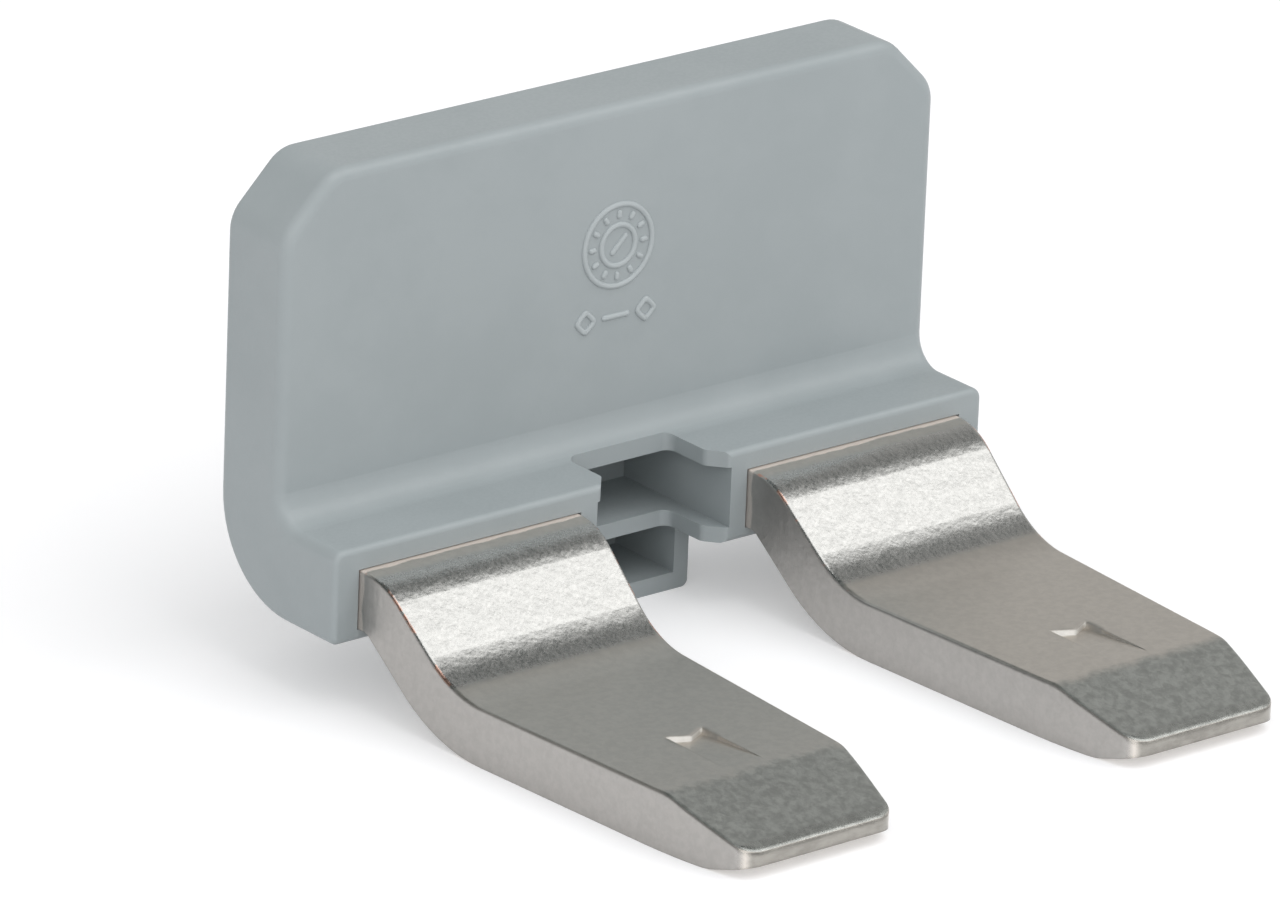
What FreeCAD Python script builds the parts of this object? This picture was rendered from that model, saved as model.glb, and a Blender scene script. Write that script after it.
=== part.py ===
import FreeCAD, Part
import math
import os
import Sketcher

# Insulated jumper bar that bridges two neighbouring rail-mounted terminal blocks: a moulded
# grip plate on a stamped and bent contact bar, whose two blades enter the conductor clamps.
# X runs across the two blocks, the blades point to -Y, and +Z is up the grip plate.
# The bodies are drawn with y = 0 on the front face of the foot block and z = 0 on the plane
# that the blades and the socket box rest on. Their placement then centres the part in Y.

drivingSizes = [
    # Grip plate and foot block
    ("overallWidth", 27.0),
    ("plateHeight", 14.8),
    ("plateThick", 3.05),
    ("blockReach", 3.05),
    ("blockHeight", 3.2),
    ("cornerChamfer", 1.93),
    ("cornerRound", 1.3),
    ("footRound", 1.0),
    ("heelRound", 3.5),
    ("gripEdgeRound", 0.4),
    ("backEdgeRound", 0.25),
    ("blockEdgeRound", 0.2),
    # Notch, open pocket and socket box between the blades
    ("notchHalf", 2.15),
    ("notchMouthHalf", 2.7),
    ("notchThroat", 0.65),
    ("notchDepth", 2.45),
    ("notchRound", 0.35),
    ("pocketHalf", 2.8),
    ("pocketDepth", 5.5),
    ("pocketWall", 0.55),
    ("boxHalf", 3.15),
    ("boxWall", 0.6),
    ("boxInset", 0.3),
    ("boxEdgeRound", 0.25),
    # Contact bar
    ("bladePitch", 16.0),
    ("bladeWidth", 9.0),
    ("bladeReach", 17.9),
    ("barThick", 2.0),
    ("barClearance", 0.03),
    ("slotFloor", 0.42),
    ("webBendInner", 0.8),
    ("webCover", 1.2),
    ("webRise", 3.4),
    ("crotchRound", 0.8),
    ("dropHeight", 2.8),
    ("dropAngle", 39.0),
    ("dropSetback", 1.1),
    ("dropBendInner", 0.5),
    ("landingInner", 4.0),
    ("shoulderWidth", 7.2),
    ("shoulderSetback", 3.0),
    ("shoulderRound", 18.0),
    ("tipWidth", 6.0),
    ("tipCornerRound", 0.8),
    ("tipThick", 0.5),
    ("tipBevelLength", 3.35),
    ("tipBevelRound", 1.5),
    ("tipUnderLength", 1.6),
    ("tipUnderRise", 0.45),
    ("tipUnderRound", 2.5),
    # Ramped stop mark pressed into each blade
    ("stopWidth", 1.5),
    ("stopLength", 3.0),
    ("stopDepth", 0.2),
    ("stopSetback", 11.0),
    ("stopPoint", 0.38),
    ("bladeEdgeRound", 0.12),
]

doc = FreeCAD.newDocument("JumperBar")
sheet = doc.addObject("Spreadsheet::Sheet", "sizes")
for row, (alias, length) in enumerate(drivingSizes, start=1):
    sheet.set("A%d" % row, alias)
    sheet.set("B%d" % row, str(length))
    sheet.setAlias("B%d" % row, alias)
doc.recompute()


# A length together with the sheet expression that gives it
class Length:
    def __init__(self, text, value):
        self.text = text
        self.value = value

    def __add__(self, other):
        return combine(self, "+", other, self.value + asLength(other).value)

    def __sub__(self, other):
        return combine(self, "-", other, self.value - asLength(other).value)

    def __mul__(self, other):
        return combine(self, "*", other, self.value * asLength(other).value)

    def __truediv__(self, other):
        return combine(self, "/", other, self.value / asLength(other).value)

    def __neg__(self):
        return Length("(0 - %s)" % self.text, -self.value)


def asLength(number):
    return number if isinstance(number, Length) else Length(str(number), float(number))


def combine(first, sign, second, value):
    return Length("(%s %s %s)" % (first.text, sign, asLength(second).text), value)


# The tangent of an angle that the sheet holds in degrees
def tangent(angle):
    return Length("tan(%s * 1 deg)" % angle.text, math.tan(math.radians(angle.value)))


def size(alias):
    return Length("sizes.%s" % alias, float(sheet.get(alias)))


zero = asLength(0)
overshoot = asLength(1)

# Levels and depths that both bodies share
blockFloor = size("dropHeight") - size("slotFloor")
blockTop = blockFloor + size("blockHeight")
plateTop = blockFloor + size("plateHeight")
bodyDepth = size("blockReach") + size("plateThick")
legFloor = size("dropHeight")
legTop = legFloor + size("barThick")
webFront = size("blockReach") + (size("plateThick") - size("barThick")) / 2
webBack = webFront + size("barThick")
webTop = plateTop - size("webCover")
webFloor = blockFloor + size("webRise")
barHalf = (size("bladePitch") + size("bladeWidth")) / 2
gapHalf = (size("bladePitch") - size("bladeWidth")) / 2
frontShift = (size("bladeReach") - bodyDepth) / 2


def newBody(name):
    body = doc.addObject("PartDesign::Body", name)
    body.Label = name
    return body


# A sketch on the body's own origin plane with that role, moved along its normal if asked
def newSketch(body, name, role, lift=None):
    sketch = body.newObject("Sketcher::SketchObject", name)
    plane = [item for item in body.Origin.OriginFeatures if item.Role == role][0]
    sketch.AttachmentSupport = [(plane, "")]
    sketch.MapMode = "FlatFace"
    if lift is not None:
        sketch.setExpression("AttachmentOffset.Base.z", lift.text)
    return sketch


# Draws a closed outline through corners (across, up[, radius]). Each corner is tied to the
# sheet, and one with a radius is rounded by an arc tangent to both of its sides.
def outline(sketch, corners):
    first = sketch.GeometryCount
    count = len(corners)
    for index in range(count):
        start = corners[index]
        end = corners[(index + 1) % count]
        line = Part.LineSegment(
            FreeCAD.Vector(start[0].value, start[1].value, 0),
            FreeCAD.Vector(end[0].value, end[1].value, 0))
        sketch.addGeometry(line, False)
    for index in range(count):
        follower = first + (index + 1) % count
        sketch.addConstraint(Sketcher.Constraint("Coincident", first + index, 2, follower, 1))
    for index, corner in enumerate(corners):
        for kind, length in (("DistanceX", corner[0]), ("DistanceY", corner[1])):
            tie = Sketcher.Constraint(kind, -1, 1, first + index, 1, length.value)
            number = sketch.addConstraint(tie)
            sketch.setExpression("Constraints[%d]" % number, length.text)
    doc.recompute()
    for index, corner in enumerate(corners):
        if len(corner) == 3:
            sketch.fillet(first + index, 1, corner[2].value, True, True)
            arc = max(number for number, item in enumerate(sketch.Geometry)
                      if isinstance(item, Part.ArcOfCircle))
            number = sketch.addConstraint(Sketcher.Constraint("Radius", arc, corner[2].value))
            sketch.setExpression("Constraints[%d]" % number, corner[2].text)
    doc.recompute()


def pad(body, name, sketch, length, midplane=False):
    feature = body.newObject("PartDesign::Pad", name)
    feature.Profile = sketch
    feature.Midplane = midplane
    feature.setExpression("Length", length.text)
    sketch.Visibility = False
    doc.recompute()
    return feature


# Cuts the sketch through everything, both ways, or by a depth against the sketch's normal
def pocket(body, name, sketch, depth=None, midplane=False):
    before = body.Shape.Volume
    feature = body.newObject("PartDesign::Pocket", name)
    feature.Profile = sketch
    if depth is None:
        feature.Type = "ThroughAll"
        feature.Midplane = True
    else:
        feature.Midplane = midplane
        feature.setExpression("Length", depth.text)
    doc.recompute()
    if not feature.Shape.Volume < before:
        raise RuntimeError("%s cuts nothing" % name)
    return feature


# Names of the edges of a body's last feature that satisfy a test
def edgesWhere(body, test):
    edges = body.Tip.Shape.Edges
    return ["Edge%d" % number for number, edge in enumerate(edges, start=1) if test(edge)]


def dress(body, kind, name, edges, length):
    base = body.Tip
    feature = body.newObject("PartDesign::" + kind, name)
    feature.Base = (base, edges)
    feature.setExpression("Radius" if kind == "Fillet" else "Size", length.text)
    doc.recompute()
    return feature


def near(first, second):
    return abs(first - second) < 1e-4


def within(edge, axis, low, high):
    box = edge.BoundBox
    least = getattr(box, axis + "Min")
    most = getattr(box, axis + "Max")
    return least > low - 1e-4 and most < high + 1e-4


# An edge that lies at one value of an axis
def liesAt(edge, axis, value):
    return within(edge, axis, value, value)


# The hollow that the moulding leaves for the legs, the bend and the web of the bar
def makeBarHollow():
    body = newBody("bar_hollow")
    gap = size("barClearance")
    side = newSketch(body, "hollow_side", "YZ_Plane")
    outline(side, [
        (-overshoot, legFloor - gap),
        (webBack + gap, legFloor - gap, size("webBendInner") + size("barThick") + gap),
        (webBack + gap, webTop + gap),
        (webFront - gap, webTop + gap),
        (webFront - gap, legTop + gap, size("webBendInner") - gap),
        (-overshoot, legTop + gap),
    ])
    pad(body, "hollow_blank", side, (barHalf + gap) * 2, midplane=True)
    front = newSketch(body, "hollow_crotch", "XZ_Plane")
    inner = gapHalf - gap
    outline(front, [
        (-inner, zero),
        (inner, zero),
        (inner, webFloor - gap, size("crotchRound")),
        (-inner, webFloor - gap, size("crotchRound")),
    ])
    pocket(body, "hollow_between_legs", front)
    cutWebCorners(body, "hollow_corners", webTop + gap)
    return body


# The web's two top corners are cut like those of the plate that covers them
def cutWebCorners(body, name, level):
    corners = edgesWhere(body, lambda edge: liesAt(edge, "Z", level.value)
                         and near(edge.BoundBox.XLength, 0))
    dress(body, "Chamfer", name, corners, size("cornerChamfer"))


def makeHousing(hollow):
    body = newBody("insulating_housing")
    side = newSketch(body, "moulding_side", "YZ_Plane")
    outline(side, [
        (zero, blockFloor),
        (bodyDepth, blockFloor, size("heelRound")),
        (bodyDepth, plateTop),
        (size("blockReach"), plateTop),
        (size("blockReach"), blockTop, size("footRound")),
        (zero, blockTop),
    ])
    pad(body, "moulding", side, size("overallWidth"), midplane=True)
    shapeGripCorners(body)
    roundPlateEdges(body)
    addSocketBox(body)
    cutNotch(body)
    roundBlockFront(body)
    cutPockets(body)
    cutBarHollow(body, hollow)
    body.setExpression("Placement.Base.y", frontShift.text)
    return body


def shapeGripCorners(body):
    top = plateTop.value
    corners = edgesWhere(body, lambda edge: liesAt(edge, "Z", top)
                         and near(edge.BoundBox.XLength, 0))
    dress(body, "Chamfer", "grip_corners", corners, size("cornerChamfer"))
    lowest = top - size("cornerChamfer").value
    turns = edgesWhere(body, lambda edge: near(edge.BoundBox.XLength, 0)
                       and near(edge.BoundBox.ZLength, 0)
                       and edge.BoundBox.ZMin > lowest - 1e-4)
    dress(body, "Fillet", "grip_corner_rounds", turns, size("cornerRound"))


# Front and back rims of the plate, down its ends and round the foot and the heel
def roundPlateEdges(body):
    face = size("blockReach").value
    back = bodyDepth.value
    rim = edgesWhere(body, lambda edge: liesAt(edge, "Y", face) and not isLevelSeam(edge)
                     and edge.BoundBox.ZMin > blockTop.value + 1e-4)
    dress(body, "Fillet", "grip_rim", rim, size("gripEdgeRound"))
    rim = edgesWhere(body, lambda edge: liesAt(edge, "Y", back) and not isLevelSeam(edge))
    dress(body, "Fillet", "back_rim", rim, size("backEdgeRound"))


# A level edge below the top is where the foot or the heel starts to curve
def isLevelSeam(edge):
    return near(edge.BoundBox.ZLength, 0) and edge.BoundBox.ZMin < plateTop.value - 1e-4


# The socket box hangs under the block and reaches the level that the blades rest on
def addSocketBox(body):
    plan = newSketch(body, "box_plan", "XY_Plane")
    half = size("boxHalf")
    outline(plan, [
        (-half, size("notchDepth")),
        (half, size("notchDepth")),
        (half, bodyDepth - size("boxInset")),
        (-half, bodyDepth - size("boxInset")),
    ])
    pad(body, "socket_box", plan, blockTop)
    front = size("notchDepth").value
    rim = edgesWhere(body, lambda edge: liesAt(edge, "Z", 0) and not liesAt(edge, "Y", front))
    dress(body, "Fillet", "box_rim", rim, size("boxEdgeRound"))


# The notch narrows from its mouth in the block's front face and passes both block walls
def cutNotch(body):
    plan = newSketch(body, "notch_plan", "XY_Plane")
    half = size("notchHalf")
    mouth = size("notchMouthHalf")
    throat = size("notchThroat")
    depth = size("notchDepth")
    turn = size("notchRound")
    outline(plan, [
        (-mouth, -overshoot),
        (mouth, -overshoot),
        (mouth, zero),
        (half, throat, turn),
        (half, depth, turn),
        (-half, depth, turn),
        (-half, throat, turn),
        (-mouth, zero),
    ])
    pocket(body, "notch", plan)


def roundBlockFront(body):
    rim = edgesWhere(body, lambda edge: liesAt(edge, "Y", 0))
    dress(body, "Fillet", "block_rim", rim, size("blockEdgeRound"))


# The pocket behind the notch and the inside of the socket box, both open to the front
def cutPockets(body):
    front = newSketch(body, "pocket_front", "XZ_Plane")
    half = size("pocketHalf")
    outline(front, [
        (-half, blockFloor + size("pocketWall")),
        (half, blockFloor + size("pocketWall")),
        (half, blockTop - size("pocketWall")),
        (-half, blockTop - size("pocketWall")),
    ])
    pocket(body, "pocket", front, size("pocketDepth"))
    front = newSketch(body, "box_front", "XZ_Plane")
    half = size("boxHalf") - size("boxWall")
    outline(front, [
        (-half, size("boxWall")),
        (half, size("boxWall")),
        (half, blockFloor),
        (-half, blockFloor),
    ])
    pocket(body, "box_inside", front, size("pocketDepth"))


def cutBarHollow(body, hollow):
    before = body.Shape.Volume
    cut = body.newObject("PartDesign::Boolean", "bar_seat")
    cut.Type = "Cut"
    cut.setObjects([hollow])
    doc.recompute()
    if not body.Shape.Volume < before:
        raise RuntimeError("the bar's hollow cuts nothing")


def makeContactBar():
    body = newBody("contact_bar")
    side = newSketch(body, "bar_side", "YZ_Plane")
    thick = size("barThick")
    drop = size("dropHeight")
    reach = size("bladeReach")
    bendInner = size("dropBendInner")
    landing = size("landingInner")
    # The mitre of a bend moves the corner of the other face along by this much
    mitre = thick * tangent(size("dropAngle") / 2)
    dropRun = drop / tangent(size("dropAngle"))
    crest = -size("dropSetback")
    outline(side, [
        (webFront, webTop),
        (webFront, legTop, size("webBendInner")),
        (crest, legTop, bendInner + thick),
        (crest - dropRun, thick, landing),
        (size("tipBevelLength") - reach, thick, size("tipBevelRound")),
        (-reach, size("tipUnderRise") + size("tipThick")),
        (-reach, size("tipUnderRise")),
        (size("tipUnderLength") - reach, zero, size("tipUnderRound")),
        (crest - dropRun + mitre, zero, landing + thick),
        (crest + mitre, legFloor, bendInner),
        (webBack, legFloor, size("webBendInner") + thick),
        (webBack, webTop),
    ])
    pad(body, "bar_blank", side, barHalf * 2, midplane=True)
    front = newSketch(body, "bar_crotch", "XZ_Plane")
    outline(front, [
        (-gapHalf, -overshoot),
        (gapHalf, -overshoot),
        (gapHalf, webFloor, size("crotchRound")),
        (-gapHalf, webFloor, size("crotchRound")),
    ])
    pocket(body, "between_blades", front)
    cutWebCorners(body, "web_corners", webTop)
    trimBlades(body)
    roundBladeEdges(body)
    pressStops(body)
    body.setExpression("Placement.Base.y", frontShift.text)
    return body


# Everything outside the tapered blades goes, seen from above
def trimBlades(body):
    plan = newSketch(body, "blade_plan", "XY_Plane")
    reach = size("bladeReach")
    edge = barHalf + overshoot
    corners = [(-edge, -(reach + overshoot)), (-edge, zero)]
    for centre in (-size("bladePitch") / 2, size("bladePitch") / 2):
        root = size("bladeWidth") / 2
        shoulder = size("shoulderWidth") / 2
        tip = size("tipWidth") / 2
        neck = size("shoulderSetback") - reach
        corners += [
            (centre - root, zero),
            (centre - shoulder, neck, size("shoulderRound")),
            (centre - tip, -reach, size("tipCornerRound")),
            (centre + tip, -reach, size("tipCornerRound")),
            (centre + shoulder, neck, size("shoulderRound")),
            (centre + root, zero),
        ]
    corners += [(edge, zero), (edge, -(reach + overshoot))]
    outline(plan, corners)
    pocket(body, "blade_sides", plan)


# The upper edges that run along the blades ahead of the block and across their tips
def roundBladeEdges(body):
    tip = -size("bladeReach").value
    upper = [edge for face in body.Tip.Shape.Faces if face.BoundBox.YMax < 1e-4 and facesUp(face)
             for edge in face.Edges]
    rim = edgesWhere(body, lambda edge: any(edge.isSame(other) for other in upper)
                     and (edge.BoundBox.YLength > edge.BoundBox.XLength / 2
                          or liesAt(edge, "Y", tip)))
    dress(body, "Fillet", "blade_rim", rim, size("bladeEdgeRound"))


def facesUp(face):
    firstU, lastU, firstV, lastV = face.ParameterRange
    return face.normalAt((firstU + lastU) / 2, (firstV + lastV) / 2).z > 0.1


# Each blade has a ramp pressed into its top that ends at a pointed wall and stops the clamp
def pressStops(body):
    thick = size("barThick")
    wall = -size("stopSetback")
    side = newSketch(body, "stop_side", "YZ_Plane", size("bladePitch") / 2)
    outline(side, [
        (wall, thick - size("stopDepth")),
        (wall, thick + overshoot),
        (wall - size("stopLength"), thick + overshoot),
        (wall - size("stopLength"), thick),
    ])
    ramp = pocket(body, "stop_ramp", side, size("stopWidth"), midplane=True)
    plan = newSketch(body, "stop_plan", "XY_Plane", thick - size("stopDepth"))
    centre = size("bladePitch") / 2
    half = size("stopWidth") / 2
    outline(plan, [
        (centre - half, wall),
        (centre, wall - size("stopPoint")),
        (centre + half, wall),
    ])
    point = pad(body, "stop_point", plan, size("stopDepth"))
    plane = [item for item in body.Origin.OriginFeatures if item.Role == "YZ_Plane"][0]
    both = body.newObject("PartDesign::Mirrored", "stops")
    both.Originals = [ramp, point]
    both.MirrorPlane = (plane, [""])
    body.Tip = both
    doc.recompute()


housing = makeHousing(makeBarHollow())
contactBar = makeContactBar()
doc.recompute()

for item in doc.Objects:
    if "Invalid" in item.State or "Error" in item.State:
        raise RuntimeError("%s failed" % item.Label)

os.makedirs("parts", exist_ok=True)
for body in (housing, contactBar):
    if body.Shape.isNull() or not body.Shape.isValid():
        raise RuntimeError("%s has no valid shape" % body.Label)
    body.Shape.exportStep("parts/%s.step" % body.Label)
    print(body.Label, len(body.Shape.Solids), "solid,", round(body.Shape.Volume, 2), "mm3")
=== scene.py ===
import math
import bmesh
import bpy
import numpy as np
from mathutils import Matrix, Vector


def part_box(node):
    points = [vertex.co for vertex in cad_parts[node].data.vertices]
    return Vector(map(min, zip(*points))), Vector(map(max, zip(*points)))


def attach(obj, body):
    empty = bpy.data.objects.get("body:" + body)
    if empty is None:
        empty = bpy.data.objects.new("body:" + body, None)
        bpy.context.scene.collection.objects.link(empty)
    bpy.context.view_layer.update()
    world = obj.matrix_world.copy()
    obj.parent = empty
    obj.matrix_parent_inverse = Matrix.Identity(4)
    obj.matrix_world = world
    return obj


# Looks of an insulated jumper bar for two neighbouring terminal blocks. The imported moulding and
# contact bar keep their shapes. They get their finishes here, and the grip plate its raised mark.

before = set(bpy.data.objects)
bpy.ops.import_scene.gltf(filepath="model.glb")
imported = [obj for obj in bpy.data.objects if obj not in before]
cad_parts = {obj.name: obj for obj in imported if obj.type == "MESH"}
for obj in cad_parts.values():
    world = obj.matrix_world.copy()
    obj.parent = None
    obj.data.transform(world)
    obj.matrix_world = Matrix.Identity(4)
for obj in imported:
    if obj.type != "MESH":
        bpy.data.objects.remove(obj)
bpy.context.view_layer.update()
print("frame loaded:", ", ".join(sorted(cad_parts)))

millimetre = 0.001

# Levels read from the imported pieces
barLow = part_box("contact_bar")[0]
mouldingLow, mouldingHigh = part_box("insulating_housing")
tipEnd = barLow.y                              # where the blades end
blockFront = mouldingLow.y                     # front face of the foot block


def millimetres(*values):
    return tuple(value * millimetre for value in values)


def rgb(red, green, blue):
    return (red, green, blue, 1.0)


# Camera, as the fit to the photograph's straight edges gave it

cameraView = {
    "place": (-0.232337, -0.272362, 0.146591),
    "azimuth": -39.727,
    "elevation": 21.215,
    "roll": 2.287,
    "lens": 337.45,
    "sensor": 36.0,
    "nearest": 0.01,
    "farthest": 20.0,
}


def makeCamera(view):
    azimuth = math.radians(view["azimuth"])
    elevation = math.radians(view["elevation"])
    roll = math.radians(view["roll"])
    back = Vector((math.sin(azimuth) * math.cos(elevation),
                   -math.cos(azimuth) * math.cos(elevation),
                   math.sin(elevation)))
    level = Vector((0, 0, 1)).cross(back).normalized()
    upright = back.cross(level)
    right = level * math.cos(roll) + upright * math.sin(roll)
    up = upright * math.cos(roll) - level * math.sin(roll)
    lens = bpy.data.cameras.new("photoCamera")
    lens.lens = view["lens"]
    lens.sensor_width = view["sensor"]
    lens.clip_start = view["nearest"]
    lens.clip_end = view["farthest"]
    camera = bpy.data.objects.new("photoCamera", lens)
    turn = Matrix((right, up, back)).transposed()
    camera.matrix_world = Matrix.LocRotScale(Vector(view["place"]), turn, None)
    bpy.context.scene.collection.objects.link(camera)
    bpy.context.scene.camera = camera


makeCamera(cameraView)
bpy.context.scene.view_settings.view_transform = "Standard"
print("camera set")


# A node with its inputs set by name or number. An input given as another node's socket is linked.
def addNode(tree, kind, settings=None, **inputs):
    node = tree.nodes.new("ShaderNode" + kind)
    for name, value in (settings or {}).items():
        setattr(node, name, value)
    for name, value in inputs.items():
        key = int(name[5:]) if name.startswith("input") else name.replace("_", " ")
        feed(tree, node.inputs[key], value)
    return node


def feed(tree, socket, value):
    if isinstance(value, bpy.types.NodeSocket):
        tree.links.new(value, socket)
    else:
        socket.default_value = value


def maths(tree, operation, first, second=0.0, third=0.0):
    node = addNode(tree, "Math", {"operation": operation},
                   input0=first, input1=second, input2=third)
    return node.outputs[0]


def product(tree, first, *others):
    for other in others:
        first = maths(tree, "MULTIPLY", first, other)
    return first


def dot(tree, first, second):
    node = addNode(tree, "VectorMath", {"operation": "DOT_PRODUCT"}, input0=first, input1=second)
    return node.outputs["Value"]


# A share that runs smoothly from start to end while a value runs from low to high
def ramp(tree, value, low, high, start=0.0, end=1.0):
    node = addNode(tree, "MapRange", {"interpolation_type": "SMOOTHSTEP"},
                   Value=value, From_Min=low, From_Max=high, To_Min=start, To_Max=end)
    return node.outputs["Result"]


# 1 up to half a width from the middle, and 0 beyond a soft edge
def nearTo(tree, value, middle, half, edge):
    away = maths(tree, "ABSOLUTE", maths(tree, "SUBTRACT", value, middle))
    return ramp(tree, away, half + edge, half - edge)


def mixColour(tree, share, first, second, blend="MIX"):
    node = addNode(tree, "Mix", {"data_type": "RGBA", "blend_type": blend})
    feed(tree, node.inputs[0], share)
    feed(tree, node.inputs[6], first)
    feed(tree, node.inputs[7], second)
    return node.outputs[2]


def noise(tree, place, scale, detail, roughness, distortion=0.0):
    node = addNode(tree, "TexNoise", Vector=place, Scale=scale, Detail=detail,
                   Roughness=roughness, Distortion=distortion)
    return node.outputs["Fac"]


def stretched(tree, place, scale):
    return addNode(tree, "Mapping", Vector=place, Scale=scale).outputs["Vector"]


def bump(tree, height, strength, depth, **before):
    node = addNode(tree, "Bump", Strength=strength, Distance=depth, Height=height, **before)
    return node.outputs["Normal"]


def newMaterial(name):
    material = bpy.data.materials.new(name)
    material.use_nodes = True
    material.node_tree.nodes.clear()
    return material, material.node_tree


# Studio: a white ground, soft lamps and a surround that the metal mirrors

studio = {
    "groundColour": rgb(0.77, 0.77, 0.78),
    "groundGlow": 0.28,                # lifts the unshaded ground to white where it is seen
    "groundSize": 6.0,
    "fillFront": (-0.38, -0.56, 0.68),   # where the room's diffuse light is strongest
    "fillSpan": (-0.9, 0.9),
    "fillLevels": (0.0, 1.0),         # its strength on the far side and on that side
    "wallTone": rgb(0.49, 0.49, 0.48),
    "upperWallTone": rgb(0.36, 0.36, 0.355),
    "gapTone": rgb(0.055, 0.066, 0.064),   # dark gap between the walls and the lamp
    "lean": (-0.25, 0.0, 1.0),         # the walls' height is measured along this
    "upperWallFrom": (0.40, 0.56),
    "gapFrom": (0.60, 0.665),
    "lamps": [
        # name, place, aimed at, width, height, power in watts
        ("keySoftbox", (0.175, -0.255, 0.42), (0.175, -0.255, 0.0), 0.60, 0.40, 1.12),
        ("frontFill", (-0.34, -0.36, 0.26), (0.0, 0.0, 0.005), 0.34, 0.30, 0.30),
    ],
}


def makeGround(settings):
    material, tree = newMaterial("whiteGround")
    half = settings["groundSize"] / 2
    mesh = bpy.data.meshes.new("ground")
    mesh.from_pydata([(-half, -half, 0), (half, -half, 0), (half, half, 0), (-half, half, 0)],
                     [], [(0, 1, 2, 3)])
    ground = bpy.data.objects.new("ground", mesh)
    bpy.context.scene.collection.objects.link(ground)
    rays = addNode(tree, "LightPath")
    seen = maths(tree, "MAXIMUM", rays.outputs["Is Camera Ray"],
                 maths(tree, "MAXIMUM", rays.outputs["Is Glossy Ray"],
                       rays.outputs["Is Transmission Ray"]))
    paint = addNode(tree, "BsdfDiffuse", Color=settings["groundColour"])
    glow = addNode(tree, "Emission", Color=rgb(1, 1, 1),
                   Strength=product(tree, seen, settings["groundGlow"]))
    both = addNode(tree, "AddShader", input0=paint.outputs[0], input1=glow.outputs[0])
    addNode(tree, "OutputMaterial", Surface=both.outputs[0])
    mesh.materials.append(material)


def makeSurround(settings):
    world = bpy.data.worlds.new("surround")
    bpy.context.scene.world = world
    world.use_nodes = True
    tree = world.node_tree
    tree.nodes.clear()
    rays = addNode(tree, "LightPath")
    direction = addNode(tree, "TexCoord").outputs["Generated"]
    rise = dot(tree, direction, settings["lean"])
    wall = mixColour(tree, ramp(tree, rise, *settings["upperWallFrom"]), settings["wallTone"],
                     settings["upperWallTone"])
    mirrored = mixColour(tree, ramp(tree, rise, *settings["gapFrom"]), wall, settings["gapTone"])
    front = dot(tree, direction, settings["fillFront"])
    fill = ramp(tree, front, *settings["fillSpan"], *settings["fillLevels"])
    light = mixColour(tree, rays.outputs["Is Glossy Ray"], fill, mirrored)
    seen = maths(tree, "MAXIMUM", rays.outputs["Is Camera Ray"],
                 rays.outputs["Is Transmission Ray"])
    colour = mixColour(tree, seen, light, rgb(1, 1, 1))
    shade = addNode(tree, "Background", Color=colour, Strength=1.0)
    addNode(tree, "OutputWorld", Surface=shade.outputs[0])


def makeLamps(settings):
    for name, place, target, width, height, power in settings["lamps"]:
        lamp = bpy.data.lights.new(name, "AREA")
        lamp.shape = "RECTANGLE"
        lamp.size = width
        lamp.size_y = height
        lamp.energy = power
        holder = bpy.data.objects.new(name, lamp)
        aim = Vector(target) - Vector(place)
        holder.rotation_mode = "QUATERNION"
        holder.rotation_quaternion = aim.to_track_quat("-Z", "Y")
        holder.location = place
        bpy.context.scene.collection.objects.link(holder)


makeGround(studio)
makeSurround(studio)
makeLamps(studio)
print("studio set")


# Moulded polyamide: cool light grey, matt, with the mould's fine eroded grain

plastic = {
    "colour": rgb(0.338, 0.374, 0.384),
    "cloud": rgb(0.322, 0.358, 0.368),   # slightly darker flow clouds
    "clouds": (260.0, 4.0, 0.6),       # a noise's scale, detail and roughness
    "cloudSpan": (0.35, 0.65),
    "cloudStrength": 0.5,
    "cloudDepth": 0.02 * millimetre,
    "grain": (7000.0, 2.0, 0.6),
    "grainSpan": (0.3, 0.7),
    "grainStrength": 0.6,
    "grainDepth": 0.006 * millimetre,
    "roughness": (0.33, 0.44),         # least and most, with the grain
}


def makePlastic(name, settings):
    material, tree = newMaterial(name)
    place = addNode(tree, "TexCoord").outputs["Object"]
    clouds = noise(tree, place, *settings["clouds"])
    colour = mixColour(tree, ramp(tree, clouds, *settings["cloudSpan"]), settings["colour"],
                       settings["cloud"])
    grain = noise(tree, place, *settings["grain"])
    roughness = ramp(tree, grain, *settings["grainSpan"], *settings["roughness"])
    swell = bump(tree, clouds, settings["cloudStrength"], settings["cloudDepth"])
    relief = bump(tree, grain, settings["grainStrength"], settings["grainDepth"], Normal=swell)
    shade = addNode(tree, "BsdfPrincipled", Base_Color=colour, Roughness=roughness, Normal=relief)
    addNode(tree, "OutputMaterial", Surface=shade.outputs["BSDF"])
    return material


# Tin over copper: satin flats, grainy bends, blotchy bevels, drawn cut sides, copper at the rims
# and a painted highlight on the pressed stops' steep walls

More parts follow.
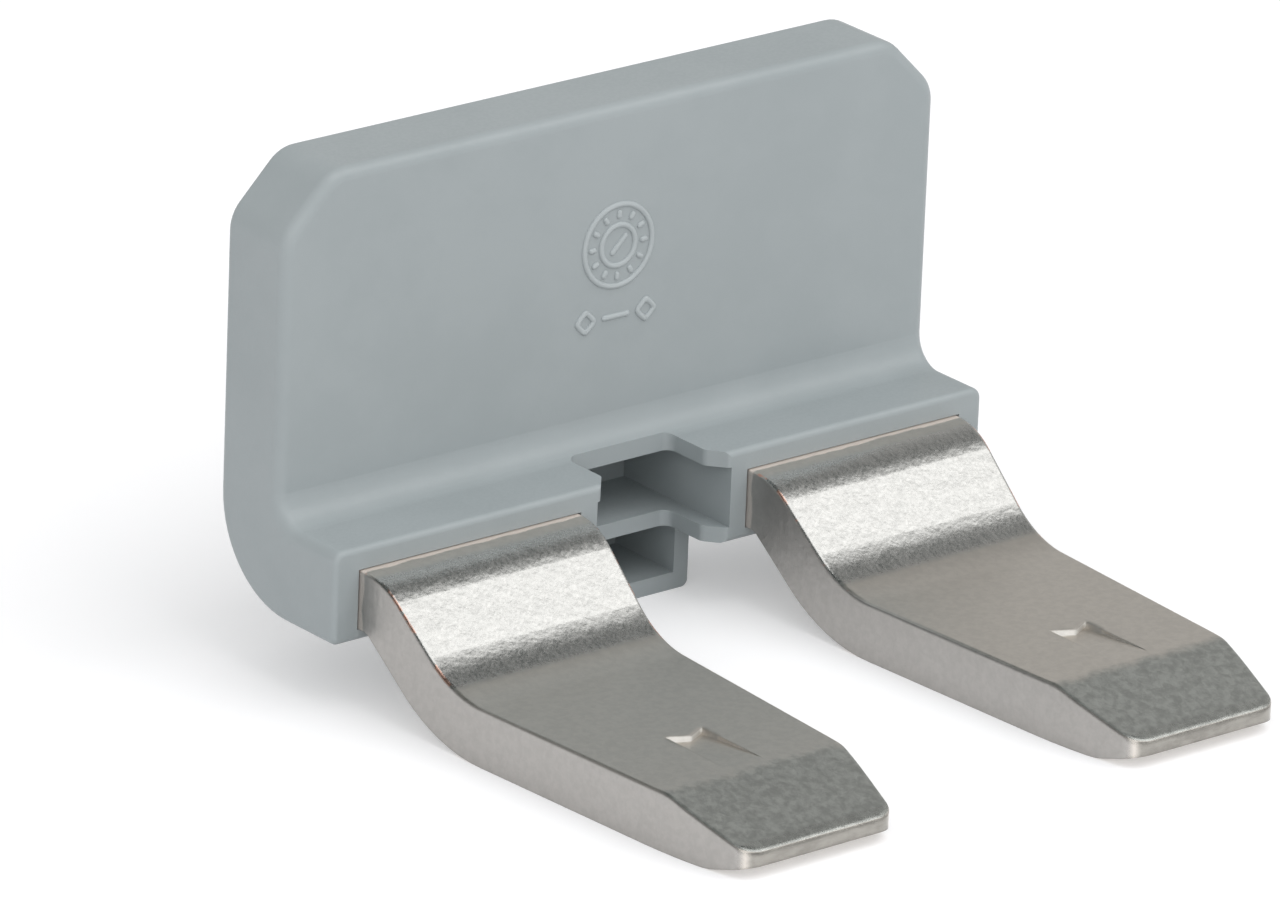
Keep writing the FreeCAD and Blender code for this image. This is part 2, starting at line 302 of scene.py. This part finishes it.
metal = {
    "colour": rgb(0.74, 0.695, 0.64),
    "bendColour": rgb(0.61, 0.605, 0.585),
    "sideColour": rgb(0.435, 0.420, 0.402),
    "bevelColour": rgb(0.62, 0.63, 0.60),
    "endColour": rgb(0.37, 0.355, 0.325),
    # near white on the pressed stops' steep walls: a painted highlight
    "stopHighlightColour": rgb(0.93, 0.90, 0.85),
    "copper": rgb(0.82, 0.50, 0.40),
    "seamColour": rgb(0.78, 0.69, 0.62),
    "tone": (0.32, 0.68, 0.95, 1.03),    # from and to: the blotches, then the share of the colour
    "deepTone": (0.72, 0.30, 0.0, 0.20),   # and what they take off it on the bevels
    "streakTone": (0.30, 0.66, 0.84, 1.08),
    "patches": (0.50, 0.56),             # of copper, along the rims

    # Roughness, and what is added to it or taken off
    "roughness": 0.36,
    "roughnessSpread": (-0.03, 0.05),
    "cutRoughness": 0.04,
    "tipShine": 0.14,
    "bendRoughness": 0.25,
    "seamDullness": 0.65,

    # Where each zone begins and is full, ahead of the block or back from the tips
    "bendFrom": millimetres(4.8, 4.4),
    "bendTo": millimetres(0.5, 0.9),
    "wornFrom": millimetres(5.0, 4.6),
    "seamFrom": millimetres(0.12, 0.02),
    "seamWander": 0.3 * millimetre,
    "bevelFrom": millimetres(4.1, 3.5),
    "bevelWander": millimetres(0.6, 0.2),
    "tipFrom": millimetres(0.6, 0.4),
    "stopMiddle": millimetres(8.0, -5.2),   # pressed stop of the right blade, its steep wall
    "stopHalf": millimetres(1.0, 0.7),
    "rampMiddle": -6.6 * millimetre,     # and its whole pressed ramp
    "rampHalf": 2.1 * millimetre,
    "pressedEdge": 0.1 * millimetre,

    # How far a face is turned to the side, to the tip or up
    "sideFacing": (0.7, 0.9),
    "endFacing": (-0.7, -0.9),
    "bevelFacing": (0.5, 0.8),
    "rimFacing": (0.15, 0.4),
    "rimUntil": (0.95, 0.8),
    "seamFacing": (0.5, 0.9, 1.0, 0.45),

    # Noises: scale, detail, roughness and distortion. Streaks have a scale in X, Y and Z.
    "blotch": (3400.0, 4.0, 0.6, 0.3),
    "grain": (4600.0, 2.0, 0.55),
    "fine": (9000.0, 3.0, 0.6),
    "fineSpan": (0.3, 0.7),
    "coarse": (1100.0, 3.0, 0.55),
    "streak": (1.0, 3.0, 0.6),
    "drawnScale": (900, 5200, 700),
    "shearedScale": (1300, 1300, 4200),

    # Relief: strength and depth
    "edgeRadius": 0.08 * millimetre,
    "softRadius": 0.22 * millimetre,     # added at the stop and the tips
    "edgeSamples": 6,
    "waves": (0.5, 0.04 * millimetre),
    "hammer": (0.40, 0.02 * millimetre),
    "hammerShare": (0.06, 1.0),          # off the bends and on them
    "dents": (0.06, 0.5),                # strength off the bevels and on them
    "dentDepth": 0.02 * millimetre,
    "cut": (0.5, 0.02 * millimetre),
    "skin": (0.15, 0.006 * millimetre),
}


def makeMetal(settings):
    material, tree = newMaterial("tinnedCopper")
    coordinates = addNode(tree, "TexCoord")
    place = coordinates.outputs["Object"]
    spot = addNode(tree, "SeparateXYZ", Vector=place)
    across = maths(tree, "ABSOLUTE", spot.outputs["X"])
    along = spot.outputs["Y"]
    ahead = maths(tree, "SUBTRACT", blockFront, along)
    back = maths(tree, "SUBTRACT", along, tipEnd)
    facing = addNode(tree, "SeparateXYZ", Vector=coordinates.outputs["Normal"])
    sideways = maths(tree, "ABSOLUTE", facing.outputs["X"])
    blotch = noise(tree, place, *settings["blotch"])
    grain = noise(tree, place, *settings["grain"])
    fine = noise(tree, place, *settings["fine"])
    coarse = noise(tree, place, *settings["coarse"])
    drawn = noise(tree, stretched(tree, place, settings["drawnScale"]), *settings["streak"])
    sheared = noise(tree, stretched(tree, place, settings["shearedScale"]), *settings["streak"])

    # Where on the bar: cut sides, cut ends, bevels, bends, the pressed stops and the tips
    side = ramp(tree, sideways, *settings["sideFacing"])
    end = ramp(tree, facing.outputs["Y"], *settings["endFacing"])
    coarseWander, blotchWander = settings["bevelWander"]
    border = maths(tree, "MULTIPLY_ADD", blotch, blotchWander, back)
    border = maths(tree, "MULTIPLY_ADD", coarse, coarseWander, border)
    bevel = product(tree, ramp(tree, border, *settings["bevelFrom"]),
                    ramp(tree, facing.outputs["Z"], *settings["bevelFacing"]))
    bend = product(tree, ramp(tree, ahead, *settings["bendFrom"]),
                   ramp(tree, ahead, *settings["bendTo"]))
    stopAcross, stopAlong = settings["stopMiddle"]
    halfAcross, halfAlong = settings["stopHalf"]
    edge = settings["pressedEdge"]
    beside = nearTo(tree, across, stopAcross, halfAcross, edge)
    stop = product(tree, beside, nearTo(tree, along, stopAlong, halfAlong, edge))
    pressed = product(tree, beside, nearTo(tree, along, settings["rampMiddle"],
                                           settings["rampHalf"], edge))
    tip = ramp(tree, back, *settings["tipFrom"])

    # Copper shows at the rims by the bends and as a thin line where the blades enter the block
    rim = product(tree, ramp(tree, sideways, *settings["rimFacing"]),
                  ramp(tree, sideways, *settings["rimUntil"]))
    worn = product(tree, rim, ramp(tree, coarse, *settings["patches"]),
                   ramp(tree, ahead, *settings["wornFrom"]))
    seam = maths(tree, "MULTIPLY_ADD", coarse, -settings["seamWander"], ahead)
    seam = product(tree, ramp(tree, seam, *settings["seamFrom"]),
                   ramp(tree, sideways, *settings["seamFacing"]))

    colour = mixColour(tree, bevel, settings["colour"], settings["bevelColour"])
    colour = mixColour(tree, bend, colour, settings["bendColour"])
    colour = mixColour(tree, maths(tree, "SUBTRACT", side, pressed), colour,
                       settings["sideColour"])
    colour = mixColour(tree, end, colour, settings["endColour"])
    # The steep wall of each pressed stop is painted near white: a painted highlight
    colour = mixColour(tree, product(tree, stop, end), colour, settings["stopHighlightColour"])
    tone = ramp(tree, blotch, *settings["tone"])
    deep = product(tree, bevel, ramp(tree, blotch, *settings["deepTone"]))
    colour = mixColour(tree, 1.0, colour, maths(tree, "SUBTRACT", tone, deep), "MULTIPLY")
    streaked = product(tree, end, maths(tree, "SUBTRACT", 1.0, stop))
    colour = mixColour(tree, streaked, colour, ramp(tree, sheared, *settings["streakTone"]),
                       "MULTIPLY")
    colour = mixColour(tree, worn, colour, settings["copper"])
    colour = mixColour(tree, seam, colour, settings["seamColour"])

    least, most = (settings["roughness"] + spread for spread in settings["roughnessSpread"])
    rough = ramp(tree, fine, *settings["fineSpan"], least, most)
    rough = maths(tree, "MULTIPLY_ADD", maths(tree, "MAXIMUM", side, bevel),
                  settings["cutRoughness"], rough)
    rough = maths(tree, "MULTIPLY_ADD", tip, -settings["tipShine"], rough)
    rough = maths(tree, "MULTIPLY_ADD", product(tree, bend, maths(tree, "SUBTRACT", 1.0, side)),
                  settings["bendRoughness"] - settings["roughness"], rough)

    radius = maths(tree, "MULTIPLY_ADD", maths(tree, "MAXIMUM", stop, tip),
                   settings["softRadius"], settings["edgeRadius"])
    softened = addNode(tree, "Bevel", {"samples": settings["edgeSamples"]}, Radius=radius)
    waveStrength, waveDepth = settings["waves"]
    waves = bump(tree, coarse, product(tree, bend, waveStrength), waveDepth,
                 Normal=softened.outputs["Normal"])
    hammered = product(tree, grain, ramp(tree, bend, 0.0, 1.0, *settings["hammerShare"]))
    hammer = bump(tree, hammered, *settings["hammer"], Normal=waves)
    dented = ramp(tree, maths(tree, "SUBTRACT", bevel, tip), 0.0, 1.0, *settings["dents"])
    dents = bump(tree, blotch, dented, settings["dentDepth"], Normal=hammer)
    cutStrength, cutDepth = settings["cut"]
    cut = bump(tree, drawn, product(tree, side, cutStrength), cutDepth, Normal=dents)
    skin = bump(tree, fine, *settings["skin"], Normal=cut)
    # The bare line by the block is dull, so it shows its colour more than what it mirrors
    metallic = maths(tree, "MULTIPLY_ADD", seam, -settings["seamDullness"], 1.0)
    shade = addNode(tree, "BsdfPrincipled", Base_Color=colour, Roughness=rough,
                    Metallic=metallic, Normal=skin)
    addNode(tree, "OutputMaterial", Surface=shade.outputs["BSDF"])
    return material


def dressNode(name, material):
    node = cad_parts[name]
    for holder in node.material_slots:
        holder.material = material


plasticFinish = makePlastic("greyPolyamide", plastic)
metalFinish = makeMetal(metal)
dressNode("insulating_housing", plasticFinish)
dressNode("contact_bar", metalFinish)
print("finishes set")


# Raised mark of the mould in the middle of the plate's front: a dial of two rings with ticks and
# a pointer, over a short bar between two small diamonds

plateMark = {
    "plateThick": 3.05 * millimetre,
    "middle": millimetres(0.15, 12.35),  # across the plate and up from the rest plane
    "outerRadius": 1.40 * millimetre,
    "innerRadius": 0.70 * millimetre,
    "roundSteps": 96,
    "ticks": 12,
    "tickSpan": (0.91, 1.22),          # radii of a tick's ends, in millimetres
    "pointer": ((-0.30, -0.30), (0.34, 0.34)),
    "barLevel": -2.45,                 # below the dial's middle, in millimetres
    "barHalf": 0.58,
    "diamondAt": 1.25,
    "diamondRadius": 0.34 * millimetre,
    "diamondPower": 1.2,               # 1 gives straight sides, and 2 a circle
    "colour": rgb(0.405, 0.443, 0.453),     # the ridges are painted a little lighter than the plate: a painted highlight
    "cloud": rgb(0.395, 0.433, 0.443),
    "lineWidth": 0.20 * millimetre,
    "lineRise": 0.08 * millimetre,
    "lineSteps": 33,
    "turns": 12,                       # points round a line's section
    "mergeWithin": 0.0001 * millimetre,
}


# A raised line is an ellipse carried along a path: half the width times the cosine across it,
# the rise times the sine out of the plate. At an open end it shrinks as a quarter circle does.
def ridge(path, closed, settings):
    step = np.linalg.norm(np.diff(path, axis=0), axis=1)
    run = np.concatenate([[0.0], np.cumsum(step)])
    half = settings["lineWidth"] / 2
    if closed:
        share = np.ones(len(path))
        along = np.roll(path, -1, axis=0) - np.roll(path, 1, axis=0)
    else:
        reach = np.clip(np.minimum(run, run[-1] - run) / half, 0.0, 1.0)
        share = np.sqrt(np.clip(1.0 - (1.0 - reach) ** 2, 0.0, 1.0))
        along = np.gradient(path, axis=0)
    along /= np.linalg.norm(along, axis=1)[:, None]
    across = np.stack([-along[:, 1], along[:, 0]], axis=1)
    count = settings["turns"]
    turn = np.linspace(0.0, 2.0 * math.pi, count, endpoint=False)
    side = half * share[:, None] * np.cos(turn)[None, :]
    out = settings["lineRise"] * share[:, None] * np.sin(turn)[None, :]
    face = mouldingHigh.y - settings["plateThick"]
    points = np.stack([path[:, :1] + across[:, :1] * side, face - out,
                       path[:, 1:] + across[:, 1:] * side], axis=2).reshape(-1, 3)
    row = np.arange(len(path) if closed else len(path) - 1)[:, None]
    spot = np.arange(count)[None, :]
    onward = (row + 1) % len(path)
    beside = (spot + 1) % count
    faces = np.stack([row * count + spot, row * count + beside,
                      onward * count + beside, onward * count + spot], axis=2).reshape(-1, 4)
    return points, faces


def markPaths(settings):
    middle = np.array(settings["middle"])
    angle = np.linspace(0.0, 2.0 * math.pi, settings["roundSteps"], endpoint=False)
    circle = np.stack([np.cos(angle), np.sin(angle)], axis=1)
    paths = [(middle + settings[name] * circle, True) for name in ("outerRadius", "innerRadius")]
    # A soft diamond: the circle drawn in to where the sides' absolute values, each to the
    # diamond's power, add up to 1
    power = settings["diamondPower"]
    diamond = circle / (np.abs(circle) ** power).sum(axis=1)[:, None] ** (1.0 / power)
    for place in (-settings["diamondAt"], settings["diamondAt"]):
        spot = middle + np.array([place, settings["barLevel"]]) * millimetre
        paths.append((spot + settings["diamondRadius"] * diamond, True))

    def line(first, last):
        share = np.linspace(0.0, 1.0, settings["lineSteps"])
        share = 0.5 - 0.5 * np.cos(share * math.pi)          # closer together near both ends
        ends = np.array([first, last]) * millimetre
        return middle + ends[0] + share[:, None] * (ends[1] - ends[0]), False

    near, far = settings["tickSpan"]
    for number in range(settings["ticks"]):
        heading = 2.0 * math.pi * number / settings["ticks"]
        ray = np.array([math.sin(heading), math.cos(heading)])
        paths.append(line(near * ray, far * ray))
    paths.append(line(*settings["pointer"]))
    level = settings["barLevel"]
    paths.append(line((-settings["barHalf"], level), (settings["barHalf"], level)))
    return paths


# The mark's mesh, with the doubled points at the lines' ends merged and the faces outward
def makePlateMark(settings, material):
    points, faces, first = [], [], 0
    for path, closed in markPaths(settings):
        linePoints, lineFaces = ridge(path, closed, settings)
        points.append(linePoints)
        faces.append(lineFaces + first)
        first += len(linePoints)
    mesh = bpy.data.meshes.new("plate_mark")
    mesh.from_pydata(np.concatenate(points).tolist(), [], np.concatenate(faces).tolist())
    shaped = bmesh.new()
    shaped.from_mesh(mesh)
    bmesh.ops.remove_doubles(shaped, verts=shaped.verts, dist=settings["mergeWithin"])
    bmesh.ops.recalc_face_normals(shaped, faces=shaped.faces)
    shaped.to_mesh(mesh)
    shaped.free()
    mesh.polygons.foreach_set("use_smooth", np.ones(len(mesh.polygons), dtype=bool))
    mesh.materials.append(material)
    piece = bpy.data.objects.new("plate_mark", mesh)
    bpy.context.scene.collection.objects.link(piece)
    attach(piece, "root")


# The mark is the plate's plastic painted lighter: a painted highlight on its ridges
markFinish = makePlastic("sheenPaintedPolyamide", dict(plastic, colour=plateMark["colour"],
                                                    cloud=plateMark["cloud"]))
makePlateMark(plateMark, markFinish)
print("plate mark made")
